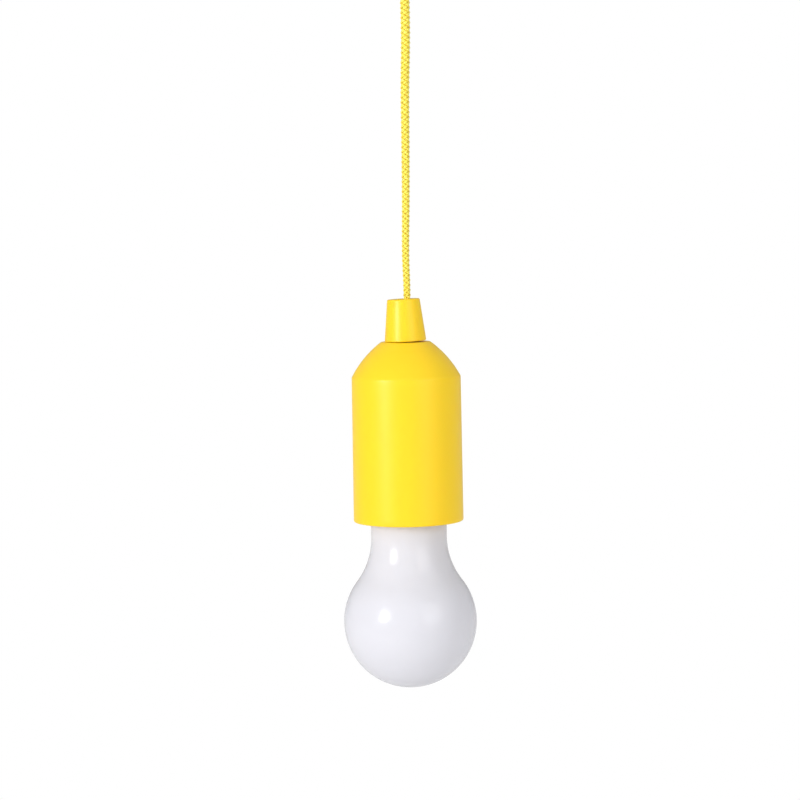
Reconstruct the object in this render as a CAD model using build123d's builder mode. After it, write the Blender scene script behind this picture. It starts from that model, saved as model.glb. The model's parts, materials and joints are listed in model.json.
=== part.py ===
from build123d import *
from math import atan2, cos, degrees, floor, hypot, pi, radians, sin, sqrt
import os

os.makedirs("parts", exist_ok=True)

# Battery lamp that hangs on a cord and is switched by pulling the lamp down.
# The origin is the point where the cord's tied loop bears on its hook. +Z is up, and the lamp
# hangs below it on the Z axis. The cap on the cord leans a little towards -X. Millimetres.

# ---- Driving dimensions ----

# Cord, its hanging loop and its two knots
cord_d = 3.3
loop_bore = 22.0
knot_d = 10.0
knot_h = 9.0
knot_round = 3.0
knot_grip = 0.5
cord_free = 160.0
stopper_d = 8.0
stopper_h = 6.0
stopper_round = 2.0
stopper_play = 0.15

# Cone cap that the cord pulls on
cap_top_d = 14.6
cap_base_d = 18.7
cap_h = 18.8
cap_wall = 1.6
cap_roof = 2.5
cap_hole_d = 5.6
cap_lean = 2.0
cap_edge = 0.5
cap_seat_gap = 0.05
crown_margin = 1.75

# Housing
shoulder_d = 49.0
rim_flare = 0.5
dome_h = 15.7
dome_arc_r = 46.0
housing_wall = 1.7
dome_roof = 2.0
crown_wall = 1.6
ring_recess = 1.6
shoulder_round = 2.0
rim_round = 0.6
mouth_chamfer = 0.4
rib_count = 3
rib_depth = 3.6
rib_t = 2.0
rib_start_angle = 30
rib_end_above_rim = 14.0
rib_below_switch = 0.5

# Pull rod, its bushing and the return spring
pull_travel = 6.0
rod_d = 6.0
rod_running = 0.08
rod_head_lift = 1.0
rod_head_h = 2.2
rod_head_play = 0.65
rod_head_chamfer = 0.5
rod_tail = 1.7
bushing_wall = 1.6
bushing_flange_d = 13.0
bushing_flange_t = 1.2
spring_wire = 0.7
spring_mean_d = 9.0
spring_spare_turns = 2
seat = 0.03

# Switch: slider, turning sleeve, case and base
slider_d = 15.2
slider_t = 3.0
pin_d = 1.6
pin_short = 0.1
clip_d = 10.0
clip_t = 0.8
rotor_wall = 1.6
rotor_play = 0.4
rotor_step = 45.0
slot_w = 2.8
rotor_margin = 1.6
rotor_end_play = 0.1
wiper_t = 0.4
wiper_gap = 0.15
contact_t = 0.3
contact_w = 3.0
case_wall = 1.6
case_play = 0.4
case_lip_t = 0.8
flange_play = 0.4
flange_t = 2.0
flange_below_shoulder = 0.85
base_t = 1.6
switch_screw_inset = 5.9
switch_screw_d = 2.4
switch_screw_count = 3
boss_d = 5.2
boss_bite = 4.7
screw_tip_room = 0.5
pad_d = 5.0
pad_t = 0.2
pad_r = 12.0
top_pin_d = 3.0

# Battery carrier, for three cells of the 10.5 x 44.5 size
cell_count = 3
cell_d = 10.5
cell_length = 44.5
cell_edge = 0.4
nub_d = 3.8
nub_h = 1.0
cell_pitch_r = 9.0
cell_play = 0.2
cell_spring_h = 3.7
cell_spring_wire = 0.5
cell_spring_d = 6.0
cell_spring_turns = 3
top_contact_d = 7.0
bottom_contact_d = 8.4
plate_play = 2.8
plate_t = 1.6
plate_gap = 0.95
notch_play = 0.3
core_d = 27.0
carrier_screw_r = 10.5
carrier_screw_d = 2.0
carrier_screw_bite = 5.5
touch_gap = 0.05
strip_w = 3.0
strip_t = 0.4
finger_h = 1.05
finger_d = 1.8
swivel_d = 5.0
swivel_thread_d = 3.0
swivel_bite = 6.0
swivel_head_d = 8.4
swivel_head_t = 1.3
swivel_running = 0.08

# Bulb end: base, board, closing ring and milky bulb
track_w = 2.0
track_inner_r = 5.5
track_outer_r = 10.0
lamp_base_t = 2.0
neck_d = 34.2
lip_t = 1.5
skirt_wall = 1.5
skirt_play = 0.3
skirt_h = 7.5
ring_flange_t = 1.85
ring_play = 0.1
oring_d = 0.9
oring_squeeze_gap = 0.1
groove_play = 0.09
base_screw_d = 2.0
base_screw_count = 3
base_screw_bite = 1.3
base_screw_tip_room = 0.05
globe_d = 60.0
globe_drop = 45.6
neck_fillet = 33.0
bulb_wall = 1.5
board_play = 0.8
board_t = 1.6
standoff_h = 5.0
standoff_d = 5.0
standoff_inset = 3.3
standoff_count = 3
board_screw_d = 2.0
board_screw_head_h = 1.2
board_screw_tip_room = 0.5
led_count = 6
led_ring_r = 6.5
led_size = 3.0
led_t = 0.8
resistor_l = 3.2
resistor_w = 1.6
resistor_t = 0.6
wire_d = 1.2
wire_inset = 3.5

screw_head_ratio = 1.9
screw_clearance = 0.15

# ---- Levels, from the loop down ----

loop_r = (loop_bore + cord_d) / 2
loop_z = -loop_bore / 2
knot_top = -loop_bore + knot_grip
knot_low = knot_top - knot_h
cap_top = knot_low - cord_free
cap_base = cap_top - cap_h
crown_z = cap_base - cap_base_d / 2 * sin(radians(cap_lean)) - cap_seat_gap
shoulder_z = crown_z - dome_h
roof_z = crown_z - dome_roof
bore_r = shoulder_d / 2 - housing_wall
crown_r = cap_base_d / 2 + crown_margin
crown_inner_r = crown_r - crown_wall

# The switch's flange is fixed just below the shoulder, where the bore is straight.
flange_top = shoulder_z - flange_below_shoulder
base_top = flange_top - flange_t
base_low = base_top - base_t
wiper_low = base_top + contact_t + wiper_gap
rotor_low = wiper_low + wiper_t
pin_z = rotor_low + rotor_margin + slot_w / 2
rotor_top = pin_z + pull_travel + slot_w / 2 + rotor_margin
slider_top = pin_z + slider_t / 2
slider_low = pin_z - slider_t / 2
rod_low = slider_low - rod_tail
rotor_bore_r = slider_d / 2 + rotor_play
rotor_r = rotor_bore_r + rotor_wall
case_bore_r = rotor_r + case_play
case_r = case_bore_r + case_wall
case_top = rotor_top + rotor_end_play + case_lip_t
flange_r = bore_r - flange_play
switch_screw_r = flange_r - switch_screw_inset

# The spring fills the room above the slider, and a full pull leaves it some spare turns from solid.
spring_top = roof_z - bushing_flange_t
spring_length = spring_top - slider_top
spring_turns = floor((spring_length - pull_travel) / spring_wire) - spring_spare_turns

plate_top = base_low - plate_gap
plate_low = plate_top - plate_t
plate_r = bore_r - plate_play
cell_top = plate_low - touch_gap
cell_low = cell_top - cell_length
floor_top = cell_low - cell_spring_h
floor_low = floor_top - plate_t
finger_low = floor_low - finger_h
track_top = finger_low - touch_gap
lamp_base_top = track_top - pad_t
lamp_base_low = lamp_base_top - lamp_base_t
lip_low = lamp_base_low - lip_t
ring_low = lip_low - ring_flange_t
rim_z = ring_low - ring_recess
rim_r = (shoulder_d + rim_flare) / 2
skirt_r = bore_r - skirt_play
skirt_bore_r = skirt_r - skirt_wall
skirt_top = lip_low + skirt_h
lip_r = skirt_bore_r - skirt_play
neck_r = neck_d / 2
board_top = lamp_base_low - standoff_h
board_low = board_top - board_t
board_r = neck_r - bulb_wall - board_play
standoff_r = board_r - standoff_inset
wire_r = standoff_r - wire_inset
base_screw_r = (neck_r + lip_r) / 2
globe_z = rim_z - globe_drop

# The cap stands on its own leaning plane.
lean = radians(cap_lean)
cap_plane = Plane(origin=(0, 0, cap_base), x_dir=(cos(lean), 0, sin(lean)), z_dir=(-sin(lean), 0, cos(lean)))


def save(built, name):
    """Label a finished piece and write it to its own file."""
    built.part.label = name
    export_step(built.part, f"parts/{name}.step")


def radial_plane(angle, height):
    """A plane through the Z axis that faces outwards at an angle, with its X along the turn and its Y up."""
    a = radians(angle)
    return Plane(origin=(0, 0, height), x_dir=(-sin(a), cos(a), 0), z_dir=(cos(a), sin(a), 0))


def dome_outline(low_r, high_r, top, rise, arc_r, bottom_r, bottom):
    """Half outline of a domed cylinder: flat crown, bulging dome, near-straight side."""
    low = top - rise
    RadiusArc((low_r, low), (high_r, top), -arc_r)
    Polyline((high_r, top), (0, top), (0, bottom), (bottom_r, bottom), (low_r, low))


def screw_outline(head_z, shank_r, head_r, length, direction):
    """Half outline of a countersunk screw that runs from its flat head along Z."""
    neck = head_z + direction * (head_r - shank_r)
    Polyline(
        (0, head_z),
        (head_r, head_z),
        (shank_r, neck),
        (shank_r, head_z + direction * length),
        (0, head_z + direction * length),
        close=True,
    )


# ---- Cord and what is tied in it ----

with BuildPart() as loop_knot:
    with BuildSketch(Plane.XY.offset(knot_low)):
        Circle(knot_d / 2)
    extrude(amount=knot_h)
    fillet(loop_knot.edges(), knot_round)
save(loop_knot, "loop_knot")

# The loop is a ring of the same cord, and its two ends go into the knot.
with BuildPart() as hang_loop:
    with BuildSketch(Plane.XZ):
        with Locations((loop_r, 0)):
            Circle(cord_d / 2)
    revolve(axis=Axis.Z)
hang_loop_ring = Plane(origin=(0, 0, loop_z), z_dir=(0, -1, 0)).location * hang_loop.part
with BuildPart() as hang_loop:
    add(hang_loop_ring)
    add(loop_knot.part, mode=Mode.SUBTRACT)
save(hang_loop, "hang_loop")

stopper_top = cap_top - cap_roof - stopper_play
stopper_low = stopper_top - stopper_h
with BuildPart() as stopper_knot:
    with BuildSketch(Plane.XY.offset(stopper_low)):
        Circle(stopper_d / 2)
    extrude(amount=stopper_h)
    fillet(stopper_knot.edges(), stopper_round)
save(stopper_knot, "stopper_knot")

# Pulled straight by the lamp's weight, so the cord is one straight run from knot to knot.
cord_length = knot_low - stopper_top
with BuildPart() as cord:
    with BuildSketch(Plane.XY.offset(stopper_top)):
        Circle(cord_d / 2)
    extrude(amount=cord_length)
save(cord, "cord")
print(f"cord: one straight run of {cord_length:.1f} mm, no bends, so no radii")
print(f"cord volume {cord.part.volume:.1f} mm3, section x length {pi * cord_d**2 / 4 * cord_length:.1f} mm3")

# ---- Cone cap ----

cap_slope = (cap_base_d - cap_top_d) / 2 / cap_h
cavity_h = cap_h - cap_roof
with BuildPart(cap_plane) as cone_cap:
    Cone(cap_base_d / 2, cap_top_d / 2, cap_h, align=(Align.CENTER, Align.CENTER, Align.MIN))
    fillet(cone_cap.edges().filter_by(GeomType.CIRCLE), cap_edge)
    Cone(
        cap_base_d / 2 - cap_wall,
        cap_base_d / 2 - cap_wall - cap_slope * cavity_h,
        cavity_h,
        align=(Align.CENTER, Align.CENTER, Align.MIN),
        mode=Mode.SUBTRACT,
    )
    Cylinder(cap_hole_d / 2, cap_h, align=(Align.CENTER, Align.CENTER, Align.MIN), mode=Mode.SUBTRACT)
save(cone_cap, "cone_cap")

# ---- Housing ----

with BuildPart() as housing_core:
    with BuildSketch(Plane.XZ):
        with BuildLine():
            dome_outline(
                bore_r,
                crown_inner_r,
                roof_z,
                dome_h - dome_roof,
                dome_arc_r - housing_wall,
                bore_r,
                rim_z - 1,
            )
        make_face()
    revolve(axis=Axis.Z)

# Half-way through the wall: what stands on the inside of the dome is trimmed to this.
with BuildPart() as wall_middle:
    with BuildSketch(Plane.XZ):
        with BuildLine():
            dome_outline(
                bore_r + housing_wall / 2,
                (crown_inner_r + crown_r) / 2,
                roof_z + dome_roof / 2,
                dome_h - dome_roof / 2,
                dome_arc_r - housing_wall / 2,
                bore_r + housing_wall / 2,
                rim_z,
            )
        make_face()
    revolve(axis=Axis.Z)

with BuildPart() as housing_bosses:
    with BuildSketch(Plane.XY.offset(flange_top)):
        with PolarLocations(switch_screw_r, switch_screw_count):
            Circle(boss_d / 2)
    extrude(amount=roof_z - flange_top)
    add(wall_middle.part, mode=Mode.INTERSECT)

rib_low = rim_z + rib_end_above_rim
with BuildPart() as housing_ribs:
    with BuildSketch(Plane.XY.offset(rib_low)):
        with PolarLocations(bore_r - rib_depth, rib_count, start_angle=rib_start_angle):
            Rectangle(rib_depth + housing_wall / 2, rib_t, align=(Align.MIN, Align.CENTER))
    extrude(amount=base_low - rib_below_switch - rib_low)

with BuildPart() as housing_shell:
    with BuildSketch(Plane.XZ):
        with BuildLine():
            dome_outline(shoulder_d / 2, crown_r, crown_z, dome_h, dome_arc_r, rim_r, rim_z)
        make_face()
    revolve(axis=Axis.Z)
    outer_edges = housing_shell.edges().filter_by(GeomType.CIRCLE).group_by(Axis.Z)
    fillet(outer_edges[1], shoulder_round)
    fillet(housing_shell.edges().filter_by(GeomType.CIRCLE).group_by(Axis.Z)[0], rim_round)
    add(housing_core.part, mode=Mode.SUBTRACT)
    mouth = housing_shell.edges().filter_by(GeomType.CIRCLE).group_by(Axis.Z)[0].sort_by(SortBy.RADIUS)[0]
    chamfer(mouth, mouth_chamfer)
    add(housing_bosses.part)
    add(housing_ribs.part)
    with BuildSketch(Plane.XY.offset(crown_z)):
        Circle(rod_d / 2 + rod_running + bushing_wall + seat)
    extrude(amount=-dome_roof - 1, mode=Mode.SUBTRACT)
    with BuildSketch(Plane.XY.offset(flange_top)):
        with PolarLocations(switch_screw_r, switch_screw_count):
            Circle(switch_screw_d / 2 + seat)
    extrude(amount=boss_bite + screw_tip_room, mode=Mode.SUBTRACT)
save(housing_shell, "housing_shell")

# ---- Pull rod, bushing, spring ----

rod_head_r = cap_base_d / 2 - cap_wall - rod_head_play
rod_head_low = crown_z + rod_head_lift
with BuildPart() as pull_rod:
    with BuildSketch(Plane.XY.offset(rod_low)):
        Circle(rod_d / 2)
    extrude(amount=rod_head_low - rod_low)
    with BuildSketch(Plane.XY.offset(rod_head_low)):
        Circle(rod_head_r)
    extrude(amount=rod_head_h)
    chamfer(pull_rod.edges().filter_by(GeomType.CIRCLE).group_by(Axis.Z)[0], rod_head_chamfer)
save(pull_rod, "pull_rod")

with BuildPart() as rod_bushing:
    with BuildSketch(Plane.XY.offset(spring_top)):
        Circle(bushing_flange_d / 2)
        Circle(rod_d / 2 + rod_running, mode=Mode.SUBTRACT)
    extrude(amount=bushing_flange_t)
    with BuildSketch(Plane.XY.offset(roof_z)):
        Circle(rod_d / 2 + rod_running + bushing_wall)
        Circle(rod_d / 2 + rod_running, mode=Mode.SUBTRACT)
    extrude(amount=dome_roof)
save(rod_bushing, "rod_bushing")

spring_rise = spring_length - spring_wire
with BuildPart() as return_spring:
    with BuildLine(Plane.XY.offset(slider_top + spring_wire / 2)) as spring_path:
        Helix(spring_rise / spring_turns, spring_rise, spring_mean_d / 2)
    with BuildSketch(Plane(origin=spring_path.line @ 0, z_dir=spring_path.line % 0)):
        Circle(spring_wire / 2)
    sweep(is_frenet=True)
save(return_spring, "return_spring")

# ---- Switch ----

pin_angles = (90, 270)
with BuildPart() as cam_slider:
    with BuildSketch(Plane.XY.offset(slider_low)):
        Circle(slider_d / 2)
    extrude(amount=slider_t)
    for pin_angle in pin_angles:
        with BuildSketch(radial_plane(pin_angle, pin_z)):
            Circle(pin_d / 2)
        extrude(amount=rotor_r - pin_short)
    with BuildSketch(Plane.XY.offset(slider_low)):
        Circle(rod_d / 2 + seat)
    extrude(amount=slider_t, mode=Mode.SUBTRACT)
save(cam_slider, "cam_slider")

with BuildPart() as slider_clip:
    with BuildSketch(Plane.XY.offset(slider_low - clip_t)):
        Circle(clip_d / 2)
        Circle(rod_d / 2 + seat, mode=Mode.SUBTRACT)
    extrude(amount=clip_t)
save(slider_clip, "slider_clip")

# Each slanted slot turns the sleeve one step while its pin climbs through the pull's travel.
slot_run = 2 * (rotor_bore_r + rotor_wall / 2) * sin(radians(rotor_step / 2))
slot_length = hypot(slot_run, pull_travel)
slot_angle = degrees(atan2(pull_travel, -slot_run))
with BuildPart() as cam_rotor:
    with BuildSketch(Plane.XY.offset(rotor_low)):
        Circle(rotor_r)
        Circle(rotor_bore_r, mode=Mode.SUBTRACT)
    extrude(amount=rotor_top - rotor_low)
    for pin_angle in pin_angles:
        with BuildSketch(radial_plane(pin_angle - rotor_step / 2, pin_z + pull_travel / 2)):
            SlotCenterToCenter(slot_length, slot_w, rotation=slot_angle)
        extrude(amount=rotor_r + 1, mode=Mode.SUBTRACT)
save(cam_rotor, "cam_rotor")

with BuildPart() as rotor_wiper:
    with BuildSketch(Plane.XY.offset(wiper_low)):
        Circle(rotor_r)
        Circle(rotor_bore_r, mode=Mode.SUBTRACT)
    extrude(amount=wiper_t)
save(rotor_wiper, "rotor_wiper")

with BuildPart() as switch_case:
    with BuildSketch(Plane.XY.offset(base_top)):
        Circle(flange_r)
        Circle(case_bore_r, mode=Mode.SUBTRACT)
        with PolarLocations(switch_screw_r, switch_screw_count):
            Circle(switch_screw_d / 2 + screw_clearance, mode=Mode.SUBTRACT)
    extrude(amount=flange_t)
    with BuildSketch(Plane.XY.offset(base_top)):
        Circle(case_r)
        Circle(case_bore_r, mode=Mode.SUBTRACT)
    extrude(amount=case_top - base_top)
    with BuildSketch(Plane.XY.offset(case_top)):
        Circle(case_r)
        Circle(rotor_bore_r + rotor_play, mode=Mode.SUBTRACT)
    extrude(amount=-case_lip_t)
save(switch_case, "switch_case")

switch_head_r = switch_screw_d / 2 * screw_head_ratio
with BuildPart() as switch_screw_form:
    with BuildSketch(Plane.XZ):
        with BuildLine():
            screw_outline(base_low, switch_screw_d / 2, switch_head_r, flange_top - base_low + boss_bite, 1)
        make_face()
    revolve(axis=Axis.Z)
with BuildPart() as switch_screws:
    with PolarLocations(switch_screw_r, switch_screw_count):
        add(switch_screw_form.part)
save(switch_screws, "switch_screws")

with BuildPart() as switch_base:
    with BuildSketch(Plane.XY.offset(base_top)):
        Circle(flange_r)
    extrude(amount=-base_t)
    with BuildSketch(Plane.XY.offset(base_low)):
        with PolarLocations(switch_screw_r, switch_screw_count):
            Circle(switch_head_r + screw_clearance)
    extrude(amount=switch_head_r - switch_screw_d / 2, taper=45, mode=Mode.SUBTRACT)
    with BuildSketch(Plane.XY.offset(base_low)):
        with PolarLocations(switch_screw_r, switch_screw_count):
            Circle(switch_screw_d / 2 + screw_clearance)
    extrude(amount=base_t, mode=Mode.SUBTRACT)
save(switch_base, "switch_base")

with BuildPart() as switch_contacts:
    with BuildSketch(Plane.XY.offset(base_top)):
        with PolarLocations(rotor_bore_r + rotor_wall / 2, 4, start_angle=45):
            Rectangle(rotor_wall, contact_w)
    extrude(amount=contact_t)
save(switch_contacts, "switch_contacts")

with BuildPart() as base_pads:
    with BuildSketch(Plane.XY.offset(base_low)):
        with Locations((0, pad_r), (0, -pad_r)):
            Circle(pad_d / 2)
    extrude(amount=-pad_t)
save(base_pads, "base_pads")

# ---- Battery carrier ----

cell_angles = [360 / cell_count * i for i in range(cell_count)]
cell_points = [(cell_pitch_r * cos(radians(a)), cell_pitch_r * sin(radians(a))) for a in cell_angles]
leg_angle = 180 / cell_count

for number, point in enumerate(cell_points, start=1):
    with BuildPart() as battery_cell:
        with BuildSketch(Plane.XY.offset(cell_low)):
            with Locations(point):
                Circle(cell_d / 2)
        extrude(amount=cell_length - nub_h)
        fillet(battery_cell.edges().filter_by(GeomType.CIRCLE), cell_edge)
        with BuildSketch(Plane.XY.offset(cell_top - nub_h)):
            with Locations(point):
                Circle(nub_d / 2)
        extrude(amount=nub_h)
    save(battery_cell, f"battery_cell_{number}")

    spring_climb = cell_spring_h - cell_spring_wire
    with BuildPart() as battery_spring:
        with BuildLine(Plane(origin=(point[0], point[1], floor_top + cell_spring_wire / 2))) as coil_path:
            Helix(spring_climb / cell_spring_turns, spring_climb, cell_spring_d / 2)
        with BuildSketch(Plane(origin=coil_path.line @ 0, z_dir=coil_path.line % 0)):
            Circle(cell_spring_wire / 2)
        sweep(is_frenet=True)
    save(battery_spring, f"battery_spring_{number}")

# Brass contact plates, let into the carrier's two ends.
with BuildPart() as top_contacts:
    with BuildSketch(Plane.XY.offset(plate_low)):
        with Locations(*cell_points):
            Circle(top_contact_d / 2)
    extrude(amount=contact_t)
save(top_contacts, "top_contacts")

with BuildPart() as bottom_contacts:
    with BuildSketch(Plane.XY.offset(floor_top)):
        with Locations(*cell_points):
            Circle(bottom_contact_d / 2)
    extrude(amount=-contact_t)
save(bottom_contacts, "bottom_contacts")

with BuildPart() as battery_frame:
    with BuildSketch(Plane.XY.offset(floor_low)):
        Circle(plate_r)
    extrude(amount=plate_t)
    with BuildSketch(Plane.XY.offset(floor_top)):
        Circle(core_d / 2)
        for angle, point in zip(cell_angles, cell_points):
            with Locations(point):
                Circle(cell_d / 2 + cell_play, mode=Mode.SUBTRACT)
                Rectangle(
                    core_d,
                    cell_d + 2 * cell_play,
                    rotation=angle,
                    align=(Align.MIN, Align.CENTER),
                    mode=Mode.SUBTRACT,
                )
    extrude(amount=plate_low - floor_top)
    add(bottom_contacts.part, mode=Mode.SUBTRACT)
    with BuildSketch(Plane.XY.offset(floor_low)):
        Circle(swivel_thread_d / 2 + seat)
    extrude(amount=swivel_bite + seat, mode=Mode.SUBTRACT)
    with BuildSketch(Plane.XY.offset(plate_low)):
        with PolarLocations(carrier_screw_r, cell_count, start_angle=leg_angle):
            Circle(carrier_screw_d / 2 + seat)
    extrude(amount=-carrier_screw_bite - screw_tip_room, mode=Mode.SUBTRACT)
save(battery_frame, "battery_frame")

carrier_head_r = carrier_screw_d / 2 * screw_head_ratio
with BuildPart() as carrier_screw_form:
    with BuildSketch(Plane.XZ):
        with BuildLine():
            screw_outline(plate_top, carrier_screw_d / 2, carrier_head_r, plate_t + carrier_screw_bite, -1)
        make_face()
    revolve(axis=Axis.Z)
with BuildPart() as carrier_screws:
    with PolarLocations(carrier_screw_r, cell_count, start_angle=leg_angle):
        add(carrier_screw_form.part)
save(carrier_screws, "carrier_screws")

with BuildPart() as carrier_top:
    with BuildSketch(Plane.XY.offset(plate_low)):
        Circle(plate_r)
        with PolarLocations(bore_r - rib_depth - notch_play, rib_count, start_angle=rib_start_angle):
            Rectangle(
                rib_depth + 2 * notch_play,
                rib_t + 2 * notch_play,
                align=(Align.MIN, Align.CENTER),
                mode=Mode.SUBTRACT,
            )
        with PolarLocations(carrier_screw_r, cell_count, start_angle=leg_angle):
            Circle(carrier_screw_d / 2 + screw_clearance, mode=Mode.SUBTRACT)
    extrude(amount=plate_t)
    with BuildSketch(Plane.XY.offset(plate_top)):
        with PolarLocations(carrier_screw_r, cell_count, start_angle=leg_angle):
            Circle(carrier_head_r + screw_clearance)
    extrude(amount=-(carrier_head_r - carrier_screw_d / 2), taper=45, mode=Mode.SUBTRACT)
    add(top_contacts.part, mode=Mode.SUBTRACT)
save(carrier_top, "carrier_top")

with BuildPart() as top_pins:
    with BuildSketch(Plane.XY.offset(plate_top)):
        with Locations((0, pad_r), (0, -pad_r)):
            Circle(top_pin_d / 2)
    extrude(amount=plate_gap - pad_t - touch_gap)
save(top_pins, "top_pins")

with BuildPart() as side_strip:
    with BuildSketch(Plane.XY.offset(floor_top)):
        with PolarLocations(core_d / 2 + seat, 1, start_angle=180):
            Rectangle(strip_t, strip_w, align=(Align.MIN, Align.CENTER))
    extrude(amount=plate_low - floor_top)
save(side_strip, "side_strip")

with BuildPart() as bottom_fingers:
    with BuildSketch(Plane.XY.offset(floor_low)):
        with Locations((track_inner_r + track_w / 2, 0), (-track_outer_r - track_w / 2, 0)):
            Circle(finger_d / 2)
    extrude(amount=-finger_h)
save(bottom_fingers, "bottom_fingers")

# The bulb end turns on this shouldered screw, and hangs on its head.
with BuildPart() as swivel_screw:
    with BuildSketch(Plane.XY.offset(lamp_base_low - touch_gap)):
        Circle(swivel_d / 2)
    extrude(amount=floor_low - lamp_base_low + touch_gap)
    with BuildSketch(Plane.XY.offset(floor_low)):
        Circle(swivel_thread_d / 2)
    extrude(amount=swivel_bite)
    with BuildSketch(Plane.XY.offset(lamp_base_low - touch_gap)):
        Circle(swivel_head_d / 2)
    extrude(amount=-swivel_head_t)
save(swivel_screw, "swivel_screw")

# ---- Bulb end ----

with BuildPart() as contact_tracks:
    with BuildSketch(Plane.XY.offset(lamp_base_top)):
        Circle(track_inner_r + track_w)
        Circle(track_inner_r, mode=Mode.SUBTRACT)
    extrude(amount=pad_t)
    with BuildSketch(Plane.XY.offset(lamp_base_top)):
        Circle(track_outer_r + track_w)
        Circle(track_outer_r, mode=Mode.SUBTRACT)
    extrude(amount=pad_t)
save(contact_tracks, "contact_tracks")

base_head_r = base_screw_d / 2 * screw_head_ratio
with BuildPart() as base_screw_form:
    with BuildSketch(Plane.XZ):
        with BuildLine():
            screw_outline(
                lamp_base_top,
                base_screw_d / 2,
                base_head_r,
                lamp_base_t + lip_t + base_screw_bite,
                -1,
            )
        make_face()
    revolve(axis=Axis.Z)
with BuildPart() as base_screws:
    with PolarLocations(base_screw_r, base_screw_count):
        add(base_screw_form.part)
save(base_screws, "base_screws")

with BuildPart() as lamp_base:
    with BuildSketch(Plane.XY.offset(lamp_base_low)):
        Circle(lip_r)
        Circle(swivel_d / 2 + swivel_running, mode=Mode.SUBTRACT)
        with PolarLocations(base_screw_r, base_screw_count):
            Circle(base_screw_d / 2 + screw_clearance, mode=Mode.SUBTRACT)
    extrude(amount=lamp_base_t)
    with BuildSketch(Plane.XY.offset(lamp_base_top)):
        with PolarLocations(base_screw_r, base_screw_count):
            Circle(base_head_r + screw_clearance)
    extrude(amount=-(base_head_r - base_screw_d / 2), taper=45, mode=Mode.SUBTRACT)
    with BuildSketch(Plane.XY.offset(lamp_base_low)):
        with PolarLocations(standoff_r, standoff_count, start_angle=rib_start_angle):
            Circle(standoff_d / 2)
            Circle(board_screw_d / 2 + seat, mode=Mode.SUBTRACT)
    extrude(amount=-standoff_h)
save(lamp_base, "lamp_base")

with BuildPart() as led_board:
    with BuildSketch(Plane.XY.offset(board_low)):
        Circle(board_r)
        with PolarLocations(standoff_r, standoff_count, start_angle=rib_start_angle):
            Circle(board_screw_d / 2 + screw_clearance, mode=Mode.SUBTRACT)
    extrude(amount=board_t)
save(led_board, "led_board")

with BuildPart() as board_screws:
    with BuildSketch(Plane.XY.offset(board_low)):
        with PolarLocations(standoff_r, standoff_count, start_angle=rib_start_angle):
            Circle(board_screw_d / 2 * screw_head_ratio)
    extrude(amount=-board_screw_head_h)
    with BuildSketch(Plane.XY.offset(board_low)):
        with PolarLocations(standoff_r, standoff_count, start_angle=rib_start_angle):
            Circle(board_screw_d / 2)
    extrude(amount=board_t + standoff_h - board_screw_tip_room)
save(board_screws, "board_screws")

with BuildPart() as led_chips:
    with BuildSketch(Plane.XY.offset(board_low)):
        Rectangle(led_size, led_size)
        with PolarLocations(led_ring_r, led_count):
            Rectangle(led_size, led_size)
    extrude(amount=-led_t)
save(led_chips, "led_chips")

with BuildPart() as board_resistor:
    with BuildSketch(Plane.XY.offset(board_top)):
        with Locations((led_ring_r, 0)):
            Rectangle(resistor_w, resistor_l)
    extrude(amount=resistor_t)
save(board_resistor, "board_resistor")

with BuildPart() as lead_wires:
    with BuildSketch(Plane.XY.offset(board_top)):
        with Locations((0, wire_r), (0, -wire_r)):
            Circle(wire_d / 2)
    extrude(amount=standoff_h)
save(lead_wires, "lead_wires")

oring_z = (skirt_top + lip_low) / 2
oring_r = bore_r - oring_squeeze_gap - oring_d / 2
with BuildPart() as end_ring:
    with BuildSketch(Plane.XY.offset(ring_low)):
        Circle(skirt_r)
        Circle(neck_r + ring_play, mode=Mode.SUBTRACT)
    extrude(amount=ring_flange_t)
    chamfer(end_ring.edges().filter_by(GeomType.CIRCLE).group_by(Axis.Z)[0], mouth_chamfer)
    with BuildSketch(Plane.XY.offset(lip_low)):
        Circle(skirt_r)
        Circle(skirt_bore_r, mode=Mode.SUBTRACT)
    extrude(amount=skirt_h)
    with BuildSketch(Plane.XY.offset(oring_z - oring_d / 2 - groove_play)):
        Circle(skirt_r + 1)
        Circle(oring_r - oring_d / 2 - seat, mode=Mode.SUBTRACT)
    extrude(amount=oring_d + 2 * groove_play, mode=Mode.SUBTRACT)
    with BuildSketch(Plane.XY.offset(lip_low)):
        with PolarLocations(base_screw_r, base_screw_count):
            Circle(base_screw_d / 2 + seat)
    extrude(amount=-base_screw_bite - base_screw_tip_room, mode=Mode.SUBTRACT)
save(end_ring, "end_ring")

with BuildPart() as seal_ring:
    with BuildSketch(Plane.XZ):
        with Locations((oring_r, oring_z)):
            Circle(oring_d / 2)
    revolve(axis=Axis.Z)
save(seal_ring, "seal_ring")

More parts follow.
